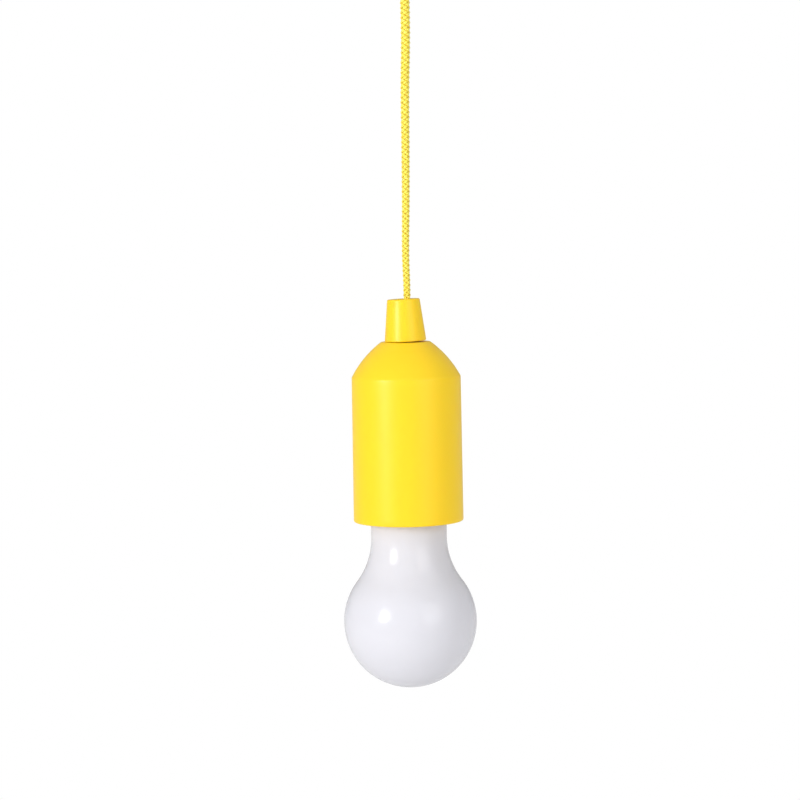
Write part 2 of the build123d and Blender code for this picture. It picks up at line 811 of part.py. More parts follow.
# The milky bulb: straight neck, concave fillet and globe, each tangent to the next.
fillet_x = neck_r + neck_fillet
fillet_rise = sqrt((globe_d / 2 + neck_fillet) ** 2 - fillet_x**2)
join_angle = degrees(atan2(fillet_rise, fillet_x))
fillet_z = globe_z + fillet_rise
globe_r = globe_d / 2
inner_globe_r = globe_r - bulb_wall
inner_fillet = neck_fillet + bulb_wall
with BuildPart() as bulb_diffuser:
    with BuildSketch(Plane.XZ):
        with BuildLine():
            CenterArc((0, globe_z), globe_r, -90, 90 + join_angle)
            CenterArc((fillet_x, fillet_z), neck_fillet, 180 + join_angle, -join_angle)
            Polyline(
                (neck_r, fillet_z),
                (neck_r, lip_low),
                (lip_r, lip_low),
                (lip_r, lamp_base_low),
                (neck_r - bulb_wall, lamp_base_low),
                (neck_r - bulb_wall, fillet_z),
            )
            CenterArc((fillet_x, fillet_z), inner_fillet, 180, join_angle)
            CenterArc((0, globe_z), inner_globe_r, join_angle, -90 - join_angle)
            Line((0, globe_z - inner_globe_r), (0, globe_z - globe_r))
        make_face()
    revolve(axis=Axis.Z)
    with BuildSketch(Plane.XY.offset(lamp_base_low)):
        with PolarLocations(base_screw_r, base_screw_count):
            Circle(base_screw_d / 2 + screw_clearance)
    extrude(amount=-lip_t, mode=Mode.SUBTRACT)
save(bulb_diffuser, "bulb_diffuser")
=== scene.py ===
import json
from math import atan2, ceil, cos, pi, radians, sin, sqrt

import bmesh
import bpy
from mathutils import Matrix, Vector


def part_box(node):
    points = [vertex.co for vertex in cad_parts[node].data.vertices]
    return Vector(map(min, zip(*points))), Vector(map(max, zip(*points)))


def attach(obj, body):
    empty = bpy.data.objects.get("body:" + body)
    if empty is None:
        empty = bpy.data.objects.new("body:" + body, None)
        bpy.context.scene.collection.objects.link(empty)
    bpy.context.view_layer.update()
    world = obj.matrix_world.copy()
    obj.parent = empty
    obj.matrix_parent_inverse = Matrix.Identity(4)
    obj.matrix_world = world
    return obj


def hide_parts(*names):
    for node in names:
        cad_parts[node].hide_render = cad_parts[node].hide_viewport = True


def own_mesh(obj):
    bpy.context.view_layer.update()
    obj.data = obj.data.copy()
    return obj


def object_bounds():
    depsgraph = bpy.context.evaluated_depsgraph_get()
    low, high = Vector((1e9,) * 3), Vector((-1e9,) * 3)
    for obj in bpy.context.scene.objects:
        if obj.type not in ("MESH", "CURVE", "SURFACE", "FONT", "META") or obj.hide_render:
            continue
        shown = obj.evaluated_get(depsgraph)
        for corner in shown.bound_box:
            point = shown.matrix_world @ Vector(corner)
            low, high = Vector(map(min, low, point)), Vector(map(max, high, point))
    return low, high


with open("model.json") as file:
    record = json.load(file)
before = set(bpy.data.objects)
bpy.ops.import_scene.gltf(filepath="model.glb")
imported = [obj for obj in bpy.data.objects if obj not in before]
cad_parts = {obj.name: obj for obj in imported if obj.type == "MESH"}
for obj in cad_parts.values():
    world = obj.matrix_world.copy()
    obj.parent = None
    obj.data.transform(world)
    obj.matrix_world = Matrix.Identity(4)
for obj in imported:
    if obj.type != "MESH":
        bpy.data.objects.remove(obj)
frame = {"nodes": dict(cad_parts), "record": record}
cad_low, cad_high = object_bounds()


# ---- Camera ----
# A long lens a good metre in front of the lamp, a little above it and looking slightly down,
# turned by one degree because the lamp hangs that much out of upright.

mm = 0.001
housing_low, housing_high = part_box("housing_shell")
rim_z = housing_low.z
dome_h = 15.7 * mm
shoulder_z = housing_high.z - dome_h

view_centre = Vector((-2.95 * mm, 0, shoulder_z - 10.5 * mm))
camera_distance = 1.2
camera_rise = radians(4.6)
camera_roll = radians(1.03)
view_width = 359.5 * mm

camera_data = bpy.data.cameras.new("camera")
camera_data.sensor_width = 36
camera_data.lens = 36 * camera_distance / view_width
camera_data.clip_start = 0.05
camera_data.clip_end = 50
camera = bpy.data.objects.new("camera", camera_data)
bpy.context.scene.collection.objects.link(camera)
towards_camera = Vector((0, -cos(camera_rise), sin(camera_rise)))
camera_up = Vector((0, sin(camera_rise), cos(camera_rise)))
camera_right = Vector((1, 0, 0))
turned_right = camera_right * cos(camera_roll) - camera_up * sin(camera_roll)
turned_up = camera_up * cos(camera_roll) + camera_right * sin(camera_roll)
camera_axes = Matrix((turned_right, turned_up, towards_camera)).transposed()
camera_place = view_centre + towards_camera * camera_distance
camera.matrix_world = Matrix.Translation(camera_place) @ camera_axes.to_4x4()
bpy.context.scene.camera = camera


# ---- Studio ----
# White surroundings, a pale floor well below the lamp, a round soft box on the left that gives
# the lamp its highlights, and weaker light from the right.

scene = bpy.context.scene
scene.view_settings.view_transform = "Standard"

world = bpy.data.worlds.new("studio")
scene.world = world
world.use_nodes = True
wn = world.node_tree.nodes
wl = world.node_tree.links
wn.clear()
world_out = wn.new("ShaderNodeOutputWorld")
seen_white = wn.new("ShaderNodeBackground")
seen_white.inputs["Color"].default_value = (1, 1, 1, 1)
seen_white.inputs["Strength"].default_value = 1.0
room_light = wn.new("ShaderNodeBackground")
room_way = wn.new("ShaderNodeTexCoord")
room_side = wn.new("ShaderNodeVectorMath")
room_side.operation = "DOT_PRODUCT"
room_side.inputs[1].default_value = (-0.14, -0.98, 0.12)
room_level = wn.new("ShaderNodeMapRange")
room_level.inputs["From Min"].default_value = -1.0
room_level.inputs["From Max"].default_value = 1.0
room_level.inputs["To Min"].default_value = 0.46
room_level.inputs["To Max"].default_value = 1.16
wl.new(room_way.outputs["Generated"], room_side.inputs[0])
wl.new(room_side.outputs["Value"], room_level.inputs["Value"])
wl.new(room_level.outputs["Result"], room_light.inputs["Strength"])
ray_kind = wn.new("ShaderNodeLightPath")
room_mix = wn.new("ShaderNodeMixShader")
wl.new(ray_kind.outputs["Is Camera Ray"], room_mix.inputs[0])
wl.new(room_light.outputs[0], room_mix.inputs[1])
wl.new(seen_white.outputs[0], room_mix.inputs[2])
wl.new(room_mix.outputs[0], world_out.inputs["Surface"])


def soft_box(name, direction, distance, size, power):
    """A round area light that faces the lamp from a direction."""
    data = bpy.data.lights.new(name, "AREA")
    data.shape = "DISK"
    data.size = size
    data.energy = power
    box = bpy.data.objects.new(name, data)
    way = Vector(direction).normalized()
    box.location = view_centre + way * distance
    box.rotation_euler = way.to_track_quat("Z", "Y").to_euler()
    scene.collection.objects.link(box)


soft_box("key_soft_box", (-0.72, -0.68, 0.17), 1.5, 0.38, 10.8)
soft_box("right_soft_box", (0.62, -0.75, 0.23), 1.6, 1.0, 4.2)

floor_z = cad_low.z - 0.4
floor_half = 6.0
floor_mesh = bpy.data.meshes.new("floor")
floor_signs = [(-1, -1), (1, -1), (1, 1), (-1, 1)]
floor_corners = [(x * floor_half, y * floor_half, floor_z) for x, y in floor_signs]
floor_mesh.from_pydata(floor_corners, [], [(0, 1, 2, 3)])
floor = bpy.data.objects.new("floor", floor_mesh)
scene.collection.objects.link(floor)
floor_paint = bpy.data.materials.new("floor_paint")
floor_paint.use_nodes = True
fn = floor_paint.node_tree.nodes
fl = floor_paint.node_tree.links
floor_shader = fn["Principled BSDF"]
floor_shader.inputs["Base Color"].default_value = (0.8, 0.8, 0.8, 1)
floor_shader.inputs["Emission Color"].default_value = (1, 1, 1, 1)
floor_shader.inputs["Emission Strength"].default_value = 0.12
floor_shader.inputs["Roughness"].default_value = 0.9
floor_glow = fn.new("ShaderNodeEmission")
floor_ray = fn.new("ShaderNodeLightPath")
floor_mix = fn.new("ShaderNodeMixShader")
fl.new(floor_ray.outputs["Is Camera Ray"], floor_mix.inputs[0])
fl.new(floor_shader.outputs[0], floor_mix.inputs[1])
floor_side = fn.new("ShaderNodeNewGeometry")
floor_clear = fn.new("ShaderNodeBsdfTransparent")
floor_seen = fn.new("ShaderNodeMixShader")
fl.new(floor_side.outputs["Backfacing"], floor_seen.inputs[0])
fl.new(floor_glow.outputs[0], floor_seen.inputs[1])
fl.new(floor_clear.outputs[0], floor_seen.inputs[2])
fl.new(floor_seen.outputs[0], floor_mix.inputs[2])
fl.new(floor_mix.outputs[0], fn["Material Output"].inputs["Surface"])
floor_mesh.materials.append(floor_paint)


# ---- Cord ----
# A soft plaited polyester cord of eight strands, 3.3 mm across, pulled straight by the lamp. It
# is fuller at the top and drawn thinner above the cap. It goes through the cap to its stopper knot.

cord_d = 3.3 * mm
stopper_low, stopper_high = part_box("stopper_knot")
knot_low, knot_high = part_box("loop_knot")
cap_top = -190.5 * mm
cord_shift = 2.2 * mm

cord_route = [
    (0.9, stopper_high.z / mm),
    (1.15, -186.5),
    (0.6, -171.0),
    (1.25, -148.0),
    (1.55, -119.0),
    (1.65, -97.0),
    (2.5, -74.0),
    (2.3, -52.0),
    (2.2, knot_low.z / mm),
]
cord_points = [(x * mm, 0, z * mm) for x, z in cord_route]


def smooth_line(name, points):
    """Points read from a smooth NURBS line through a route's control points."""
    curve = bpy.data.curves.new(name, "CURVE")
    curve.dimensions = "3D"
    curve.resolution_u = 48
    spline = curve.splines.new("NURBS")
    spline.points.add(len(points) - 1)
    for point, place in zip(spline.points, points):
        point.co = (*place, 1)
    spline.order_u = 3
    spline.use_endpoint_u = True
    holder = bpy.data.objects.new(name, curve)
    scene.collection.objects.link(holder)
    mesh = bpy.data.meshes.new_from_object(holder)
    line = [v.co.copy() for v in mesh.vertices]
    bpy.data.objects.remove(holder)
    bpy.data.curves.remove(curve)
    bpy.data.meshes.remove(mesh)
    return line


def even_line(line, step):
    """The same line as points an even step apart."""
    lengths = [0.0]
    for a, b in zip(line, line[1:]):
        lengths.append(lengths[-1] + (b - a).length)
    count = max(2, ceil(lengths[-1] / step))
    places, at = [], 0
    for i in range(count + 1):
        want = lengths[-1] * i / count
        while at < len(lengths) - 2 and lengths[at + 1] < want:
            at += 1
        share = (want - lengths[at]) / max(lengths[at + 1] - lengths[at], 1e-9)
        places.append(line[at].lerp(line[at + 1], share))
    return places, lengths[-1]


def line_frames(line):
    """Two directions across the line at each point, carried along without twist."""
    across = Vector((0, 1, 0))
    frames = []
    for i, place in enumerate(line):
        ahead = (line[min(i + 1, len(line) - 1)] - line[max(i - 1, 0)]).normalized()
        across = (across - ahead * across.dot(ahead)).normalized()
        frames.append((across.copy(), ahead.cross(across)))
    return frames


plait_pitch = 8.8 * mm
strands_each_way = 4
strand_slant = 0.55


def plaited(name, line, width, taper=lambda share: 1.0, ring=8):
    """Eight strands over and under each other along a line: half turn one way, half the other."""
    frames = line_frames(line)
    run = [0.0]
    for a, b in zip(line, line[1:]):
        run.append(run[-1] + (b - a).length)
    mesh = bpy.data.meshes.new(name)
    build = bmesh.new()
    uv_layer = build.loops.layers.uv.new("fibres")
    mid_r = width * 0.31
    weave = width * 0.085
    half_w = width * 0.2
    half_t = width * 0.125
    for way in (1, -1):
        for k in range(strands_each_way):
            rings = []
            for i, place in enumerate(line):
                grow = taper(run[i] / run[-1])
                turn = way * 2 * pi * run[i] / plait_pitch + k * 2 * pi / strands_each_way
                lift = way * weave * cos(strands_each_way * 2 * pi * run[i] / plait_pitch)
                a, b = frames[i]
                out = a * cos(turn) + b * sin(turn)
                side = b * cos(turn) - a * sin(turn)
                lean = way * 2 * pi * mid_r / plait_pitch
                ahead = a.cross(b)
                flat = (side - ahead * lean * strand_slant).normalized()
                centre = place + out * (mid_r + lift) * grow
                ring_verts = []
                for j in range(ring):
                    t = 2 * pi * j / ring
                    ring_verts.append(
                        build.verts.new(centre + (flat * half_w * cos(t) + out * half_t * sin(t)) * grow)
                    )
                rings.append(ring_verts)
            for i in range(len(rings) - 1):
                for j in range(ring):
                    n = (j + 1) % ring
                    face = build.faces.new((rings[i][j], rings[i][n], rings[i + 1][n], rings[i + 1][j]))
                    face.smooth = True
                    along = (run[i] / plait_pitch, run[i + 1] / plait_pitch)
                    around = (j / ring, (j + 1) / ring)
                    corners = ((0, 0), (1, 0), (1, 1), (0, 1))
                    for loop, (u, v) in zip(face.loops, corners):
                        loop[uv_layer].uv = (around[u], along[v])
            build.faces.new(list(reversed(rings[0])))
            build.faces.new(rings[-1])
    bmesh.ops.recalc_face_normals(build, faces=build.faces)
    build.to_mesh(mesh)
    build.free()
    piece = bpy.data.objects.new(name, mesh)
    scene.collection.objects.link(piece)
    return piece


def effect_group(name, inputs, outputs):
    """An empty node group with named sockets; inputs carry their starting values."""
    group = bpy.data.node_groups.new(name, "ShaderNodeTree")
    for label, value in inputs:
        socket = group.interface.new_socket(label, in_out="INPUT", socket_type="NodeSocketFloat")
        socket.default_value = value
    for label in outputs:
        group.interface.new_socket(label, in_out="OUTPUT", socket_type="NodeSocketFloat")
    return group, group.nodes.new("NodeGroupInput"), group.nodes.new("NodeGroupOutput")


# The yarn's twisted fibres: fine ridges along each strand, light and dark patches at random, and the
# strand's crest,
# used for painted light and shade: paler where the strand stands out of the plait, deeper orange where
# its edges sink in.
fibre_group, fibre_in, fibre_out = effect_group(
    "spun_fibres_and_crest_shade", [("Fibres", 9.0), ("Twist", 6.0)], ["Ridges", "Tone", "Painted Crest Shade"]
)
gn, gl = fibre_group.nodes, fibre_group.links
fibre_uv = gn.new("ShaderNodeUVMap")
fibre_uv.uv_map = "fibres"
fibre_split = gn.new("ShaderNodeSeparateXYZ")
gl.new(fibre_uv.outputs["UV"], fibre_split.inputs[0])
fibre_around = gn.new("ShaderNodeMath")
fibre_around.operation = "MULTIPLY"
gl.new(fibre_split.outputs["X"], fibre_around.inputs[0])
gl.new(fibre_in.outputs["Fibres"], fibre_around.inputs[1])
fibre_along = gn.new("ShaderNodeMath")
fibre_along.operation = "MULTIPLY"
gl.new(fibre_split.outputs["Y"], fibre_along.inputs[0])
gl.new(fibre_in.outputs["Twist"], fibre_along.inputs[1])
fibre_sum = gn.new("ShaderNodeMath")
fibre_sum.operation = "ADD"
gl.new(fibre_around.outputs[0], fibre_sum.inputs[0])
gl.new(fibre_along.outputs[0], fibre_sum.inputs[1])
fibre_wave = gn.new("ShaderNodeMath")
fibre_wave.operation = "PINGPONG"
fibre_wave.inputs[1].default_value = 0.5
gl.new(fibre_sum.outputs[0], fibre_wave.inputs[0])
gl.new(fibre_wave.outputs[0], fibre_out.inputs["Ridges"])
fibre_turn = gn.new("ShaderNodeMath")
fibre_turn.operation = "MULTIPLY_ADD"
fibre_turn.inputs[1].default_value = 2 * pi
fibre_turn.inputs[2].default_value = -pi / 2
gl.new(fibre_split.outputs["X"], fibre_turn.inputs[0])
# How far each point of a strand faces outwards. It paints light on the crest and shade at the strand's
# edges.
fibre_crest_shade = gn.new("ShaderNodeMath")
fibre_crest_shade.operation = "COSINE"
gl.new(fibre_turn.outputs[0], fibre_crest_shade.inputs[0])
gl.new(fibre_crest_shade.outputs[0], fibre_out.inputs["Painted Crest Shade"])
fibre_place = gn.new("ShaderNodeTexCoord")
fibre_noise = gn.new("ShaderNodeTexNoise")
fibre_noise.inputs["Scale"].default_value = 700
fibre_noise.inputs["Detail"].default_value = 3
gl.new(fibre_place.outputs["Object"], fibre_noise.inputs["Vector"])
gl.new(fibre_noise.outputs["Fac"], fibre_out.inputs["Tone"])


def surface(name, color, roughness, **sockets):
    """A Principled material with its plain values on its own sockets. Gives the nodes back too."""
    material = bpy.data.materials.new(name)
    material.use_nodes = True
    material.diffuse_color = (*color, 1)
    nodes = material.node_tree.nodes
    shader = nodes["Principled BSDF"]
    shader.inputs["Base Color"].default_value = (*color, 1)
    shader.inputs["Roughness"].default_value = roughness
    for label, value in sockets.items():
        shader.inputs[label.replace("_", " ")].default_value = value
    return material, nodes, material.node_tree.links, shader


cord_yarn, nodes, links, shader = surface(
    "cord_yarn", (0.90, 0.76, 0.05), 0.28, Specular_IOR_Level=0.85, Sheen_Weight=0.15, Sheen_Roughness=0.4
)
yarn = nodes.new("ShaderNodeGroup")
yarn.node_tree = fibre_group
# Painted shade and painted light: the yarn runs from deep orange where a strand's edges sink into the
# plait to pale lemon on its crest, mixed with the random tone.
yarn_tones_and_shade = nodes.new("ShaderNodeMix")
yarn_tones_and_shade.data_type = "RGBA"
yarn_tones_and_shade.inputs["A"].default_value = (0.72, 0.40, 0.004, 1)
yarn_tones_and_shade.inputs["B"].default_value = (0.93, 0.86, 0.085, 1)
yarn_crevice_shade = nodes.new("ShaderNodeMapRange")
yarn_crevice_shade.inputs["From Min"].default_value = 0.25
yarn_crevice_shade.inputs["From Max"].default_value = 1.0
yarn_crevice_shade.inputs["To Min"].default_value = -0.35
yarn_crevice_shade.inputs["To Max"].default_value = 0.5
yarn_tone_and_shade_share = nodes.new("ShaderNodeMath")
yarn_tone_and_shade_share.operation = "ADD"
yarn_tone_and_shade_share.use_clamp = True
links.new(yarn.outputs["Painted Crest Shade"], yarn_crevice_shade.inputs["Value"])
links.new(yarn_crevice_shade.outputs["Result"], yarn_tone_and_shade_share.inputs[0])
links.new(yarn.outputs["Tone"], yarn_tone_and_shade_share.inputs[1])
links.new(yarn_tone_and_shade_share.outputs[0], yarn_tones_and_shade.inputs["Factor"])
links.new(yarn_tones_and_shade.outputs["Result"], shader.inputs["Base Color"])
yarn_bump = nodes.new("ShaderNodeBump")
yarn_bump.inputs["Strength"].default_value = 0.6
yarn_bump.inputs["Distance"].default_value = 0.00012
links.new(yarn.outputs["Ridges"], yarn_bump.inputs["Height"])
links.new(yarn_bump.outputs["Normal"], shader.inputs["Normal"])


thin_share = 0.98
fuller_share = 0.35
full_from = 0.85


def cord_taper(share):
    """Drawn thin above the cap (share 0), full towards the loop (share 1)."""
    return thin_share + fuller_share * min(1.0, share / full_from)


strand_step = 0.3 * mm
cord_line, cord_length = even_line(smooth_line("cord_route", cord_points), strand_step)
cord = plaited("plaited_cord", cord_line, cord_d, cord_taper)
cord.data.materials.append(cord_yarn)
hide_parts("cord")
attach(cord, "cord_side")


# ---- Hanging loop and its knot ----
# The cord's end is laid back into a loop for the hook, and three turns round both legs, drawn
# tight, hold it. The cut end is melted to a small bead.

loop_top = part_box("hang_loop")[1].z
full_width = cord_d * 1.1

loop_top_z = loop_top - cord_d * 0.62
leg_gap = 1.3 * mm
loop_route = [
    (-leg_gap, 0.0, knot_low.z + 3 * mm),
    (-leg_gap, 0.0, knot_high.z - 1 * mm),
    (-5.5 * mm, 0.3 * mm, knot_high.z + 3.5 * mm),
    (-12.0 * mm, 0.4 * mm, loop_top_z - 13 * mm),
    (-11.0 * mm, 0.2 * mm, loop_top_z - 2.5 * mm),
    (0.0, 0.0, loop_top_z + 1.3 * mm),
    (11.0 * mm, -0.2 * mm, loop_top_z - 2.5 * mm),
    (12.0 * mm, -0.4 * mm, loop_top_z - 13 * mm),
    (5.5 * mm, -0.3 * mm, knot_high.z + 3.5 * mm),
    (leg_gap, 0.0, knot_high.z - 1 * mm),
    (leg_gap, 0.0, knot_low.z + 3 * mm),
]
loop_points = [(x + cord_shift, y, z) for x, y, z in loop_route]
loop_line = even_line(smooth_line("loop_route", loop_points), strand_step)[0]
loop_piece = plaited("tied_loop", loop_line, full_width)
loop_piece.data.materials.append(cord_yarn)
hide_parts("hang_loop")
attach(loop_piece, "cord_side")

knot_turns = 3
knot_r = 2.9 * mm
knot_rise = 2.75 * mm
wrap_steps = 12
wrap_low = knot_low.z + 1.4 * mm
wrap_bulge = 0.06
wrap_tight = 0.82
wrap_route = []
for i in range(knot_turns * wrap_steps + 1):
    turn = 2 * pi * i / wrap_steps
    bulge = 1 + wrap_bulge * sin(pi * i / (knot_turns * wrap_steps))
    wrap_route.append(
        (
            cord_shift + knot_r * bulge * cos(turn),
            knot_r * bulge * sin(turn),
            wrap_low + knot_rise * wrap_tight * i / wrap_steps,
        )
    )
tail_start = Vector(wrap_route[0])
tail_route = [
    tuple(tail_start + Vector((1.5 * mm, -7.5 * mm, -6.5 * mm))),
    tuple(tail_start + Vector((1.3 * mm, -5.0 * mm, -4.0 * mm))),
    tuple(tail_start + Vector((0.8 * mm, -2.4 * mm, -1.6 * mm))),
]
wrap_line = even_line(smooth_line("wrap_route", tail_route + wrap_route), strand_step)[0]
knot_piece = plaited("drawn_knot", wrap_line, full_width * 0.94)
knot_piece.data.materials.append(cord_yarn)
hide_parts("loop_knot")
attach(knot_piece, "cord_side")

# Moulded or melted plastic: a fine grain, rubbed patches and two tones that flow along the piece.
skin_group, skin_in, skin_out = effect_group(
    "moulded_skin", [("Grain Size", 900.0), ("Rub Size", 60.0)], ["Grain", "Rubs", "Flow"]
)
gn, gl = skin_group.nodes, skin_group.links
skin_place = gn.new("ShaderNodeTexCoord")
skin_grain = gn.new("ShaderNodeTexNoise")
skin_grain.inputs["Detail"].default_value = 3
skin_grain.inputs["Roughness"].default_value = 0.55
gl.new(skin_place.outputs["Object"], skin_grain.inputs["Vector"])
gl.new(skin_in.outputs["Grain Size"], skin_grain.inputs["Scale"])
gl.new(skin_grain.outputs["Fac"], skin_out.inputs["Grain"])
skin_rub = gn.new("ShaderNodeTexNoise")
skin_rub.inputs["Detail"].default_value = 6
skin_rub.inputs["Roughness"].default_value = 0.7
skin_rub_cut = gn.new("ShaderNodeMapRange")
skin_rub_cut.inputs["From Min"].default_value = 0.45
skin_rub_cut.inputs["From Max"].default_value = 0.75
gl.new(skin_place.outputs["Object"], skin_rub.inputs["Vector"])
gl.new(skin_in.outputs["Rub Size"], skin_rub.inputs["Scale"])
gl.new(skin_rub.outputs["Fac"], skin_rub_cut.inputs["Value"])
gl.new(skin_rub_cut.outputs["Result"], skin_out.inputs["Rubs"])
skin_flow = gn.new("ShaderNodeTexNoise")
skin_flow.inputs["Scale"].default_value = 14
skin_flow.inputs["Detail"].default_value = 2
skin_stretch = gn.new("ShaderNodeMapping")
skin_stretch.inputs["Scale"].default_value = (1, 1, 0.25)
gl.new(skin_place.outputs["Object"], skin_stretch.inputs["Vector"])
gl.new(skin_stretch.outputs["Vector"], skin_flow.inputs["Vector"])
gl.new(skin_flow.outputs["Fac"], skin_out.inputs["Flow"])


def moulded(name, color, shade, roughness, grain_size=900.0, grain_depth=0.00002, **sockets):
    """Moulded plastic: two close tones that flow into each other, a fine skin and rubbed patches."""
    material, nodes, links, shader = surface(name, color, roughness, **sockets)
    skin = nodes.new("ShaderNodeGroup")
    skin.node_tree = skin_group
    skin.inputs["Grain Size"].default_value = grain_size
    tones = nodes.new("ShaderNodeMix")
    tones.data_type = "RGBA"
    tones.inputs["A"].default_value = (*color, 1)
    tones.inputs["B"].default_value = (*shade, 1)
    links.new(skin.outputs["Flow"], tones.inputs["Factor"])
    links.new(tones.outputs["Result"], shader.inputs["Base Color"])
    gloss = nodes.new("ShaderNodeMapRange")
    gloss.inputs["To Min"].default_value = roughness + 0.04
    gloss.inputs["To Max"].default_value = roughness - 0.06
    links.new(skin.outputs["Rubs"], gloss.inputs["Value"])
    links.new(gloss.outputs["Result"], shader.inputs["Roughness"])
    bump = nodes.new("ShaderNodeBump")
    bump.inputs["Strength"].default_value = 0.35
    bump.inputs["Distance"].default_value = grain_depth
    links.new(skin.outputs["Grain"], bump.inputs["Height"])
    links.new(bump.outputs["Normal"], shader.inputs["Normal"])
    return material


bead_build = bmesh.new()
bmesh.ops.create_icosphere(bead_build, subdivisions=3, radius=full_width * 0.47)
for vert in bead_build.verts:
    squash = 1 + 0.12 * sin(vert.co.x * 4100 + 1.0) * cos(vert.co.y * 3300)
    vert.co = vert.co * squash
for face in bead_build.faces:
    face.smooth = True
bead_mesh = bpy.data.meshes.new("melted_bead")
bead_build.to_mesh(bead_mesh)
bead_build.free()
bead_mesh.transform(Matrix.Translation(wrap_line[0]) @ Matrix.Diagonal((1, 1, 0.8, 1)))
bead = bpy.data.objects.new("melted_bead", bead_mesh)
scene.collection.objects.link(bead)
bead_mesh.materials.append(moulded("melted_cord", (0.62, 0.40, 0.03), (0.45, 0.27, 0.03), 0.4, 1500.0))
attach(bead, "cord_side")


# ---- Stopper knot ----
# A plain overhand knot inside the cap, drawn hard against the cap's roof. It carries the lamp.

stopper_turns = 2
stopper_r = 1.9 * mm
stopper_route = [
    (
        stopper_r * cos(2 * pi * i / wrap_steps),
        stopper_r * sin(2 * pi * i / wrap_steps),
        stopper_low.z + 1.6 * mm + 2.6 * mm * i / (stopper_turns * wrap_steps),
    )
    for i in range(stopper_turns * wrap_steps + 1)
]
stopper_line = even_line(smooth_line("stopper_route", stopper_route), strand_step)[0]
stopper = plaited("stopper_plait", stopper_line, cord_d * 0.85)
stopper.data.materials.append(cord_yarn)
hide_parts("stopper_knot")
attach(stopper, "cord_side")


# ---- Cone cap ----
# The moulded cap that the cord pulls on: satin yellow polypropylene, open below, with the cord's
# hole in its roof. It stands on the housing's crown and leans a little to one side.

yellow = (0.985, 0.645, 0.007)
yellow_deep = (0.975, 0.615, 0.005)
yellow_plastic = moulded(
    "yellow_polypropylene",
    yellow,
    yellow_deep,
    0.34,
    1100.0,
    0.00003,
    Specular_IOR_Level=0.42,
    Subsurface_Weight=0.2,
    Subsurface_Scale=0.004,
)
yellow_shader = yellow_plastic.node_tree.nodes["Principled BSDF"]
yellow_shader.inputs["Subsurface Radius"].default_value = (1.0, 0.45, 0.05)


def turned_shell(name, outline, turns=192, smooth_angle=35):
    """A body of revolution about the Z axis from a closed outline of (radius, height) points."""
    build = bmesh.new()
    rows = []
    for radius, height in outline:
        if radius < 1e-7:
            rows.append([build.verts.new((0, 0, height))] * turns)
        else:
            circle = [2 * pi * j / turns for j in range(turns)]
            rows.append([build.verts.new((radius * cos(t), radius * sin(t), height)) for t in circle])
    for i in range(len(rows)):
        low, high = rows[i], rows[(i + 1) % len(rows)]
        for j in range(turns):
            n = (j + 1) % turns
            corners = []
            for vert in (low[j], low[n], high[n], high[j]):
                if vert not in corners:
                    corners.append(vert)
            if len(corners) > 2:
                build.faces.new(corners)
    bmesh.ops.recalc_face_normals(build, faces=build.faces)
    for face in build.faces:
        face.smooth = True
    for edge in build.edges:
        if len(edge.link_faces) == 2 and edge.calc_face_angle(0) > radians(smooth_angle):
            edge.smooth = False
    mesh = bpy.data.meshes.new(name)
    build.to_mesh(mesh)
    build.free()
    piece = bpy.data.objects.new(name, mesh)
    scene.collection.objects.link(piece)
    return piece


def rounded(outline, rounds, steps=6):
    """The outline with the listed corners, {index: radius}, turned into arcs."""
    made = []
    for i, corner in enumerate(outline):
        if i not in rounds:
            made.append(corner)
            continue
        here = Vector(corner)
        before = Vector(outline[i - 1]) - here
        after = Vector(outline[(i + 1) % len(outline)]) - here
        half = before.angle(after) / 2
        cut = rounds[i] / sin(half) * cos(half)
        start = here + before.normalized() * cut
        end = here + after.normalized() * cut
        centre = here + (before.normalized() + after.normalized()).normalized() * rounds[i] / sin(half)
        a = start - centre
        b = end - centre
        angle = a.angle(b)
        for s in range(steps + 1):
            t = s / steps
            point = centre + (a * sin((1 - t) * angle) + b * sin(t * angle)) / sin(angle)
            made.append((point.x, point.y))
    return made


cap_base_r = 9.35 * mm
cap_top_r = 7.3 * mm
cap_h = 18.8 * mm
cap_wall = 1.6 * mm
cap_roof = 2.5 * mm
cap_hole_r = 2.8 * mm
cap_lean = radians(2.0)
cap_slope = (cap_base_r - cap_top_r) / cap_h
cap_inner_top_r = cap_base_r - cap_wall - cap_slope * (cap_h - cap_roof)
cap_outline = [
    (cap_hole_r, cap_h - cap_roof),
    (cap_hole_r, cap_h),
    (cap_top_r, cap_h),
    (cap_base_r, 0),
    (cap_base_r - cap_wall, 0),
    (cap_inner_top_r, cap_h - cap_roof),
]
cap_rounds = {1: 0.5 * mm, 2: 0.55 * mm, 3: 0.35 * mm, 4: 0.25 * mm}
cap = turned_shell("cap_shell", rounded(cap_outline, cap_rounds))
cap.data.transform(Matrix.Translation((0, 0, cap_top - cap_h)) @ Matrix.Rotation(-cap_lean, 4, "Y"))
cap.data.materials.append(yellow_plastic)
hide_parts("cone_cap")
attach(cap, "cord_side")


# ---- Housing ----
# The yellow moulded body: a near-straight cylinder under a round dome with a flat crown. A soft
# edge parts the dome from the cylinder, and the mouth's rim is slightly rounded.

crown_z = housing_high.z
shoulder_r = 24.5 * mm
rim_r = 24.75 * mm
crown_r = 11.1 * mm
housing_wall = 1.7 * mm
bore_r = shoulder_r - housing_wall
crown_inner_r = 9.5 * mm
crown_hole_r = 4.71 * mm
dome_arc_r = 46.0 * mm
roof_z = crown_z - 2.0 * mm


def dome_arc(low_r, low_z, high_r, high_z, radius, steps):
    """Points on the bulging arc from the low circle to the high one."""
    run = Vector((high_r - low_r, high_z - low_z))
    inward = Vector((-run.y, run.x)).normalized()
    centre = Vector((low_r, low_z)) + run / 2 + inward * sqrt(radius**2 - run.length_squared / 4)
    start = atan2(low_z - centre.y, low_r - centre.x)
    end = atan2(high_z - centre.y, high_r - centre.x)
    turns = [start + (end - start) * i / steps for i in range(steps + 1)]
    return [(centre.x + radius * cos(t), centre.y + radius * sin(t)) for t in turns]


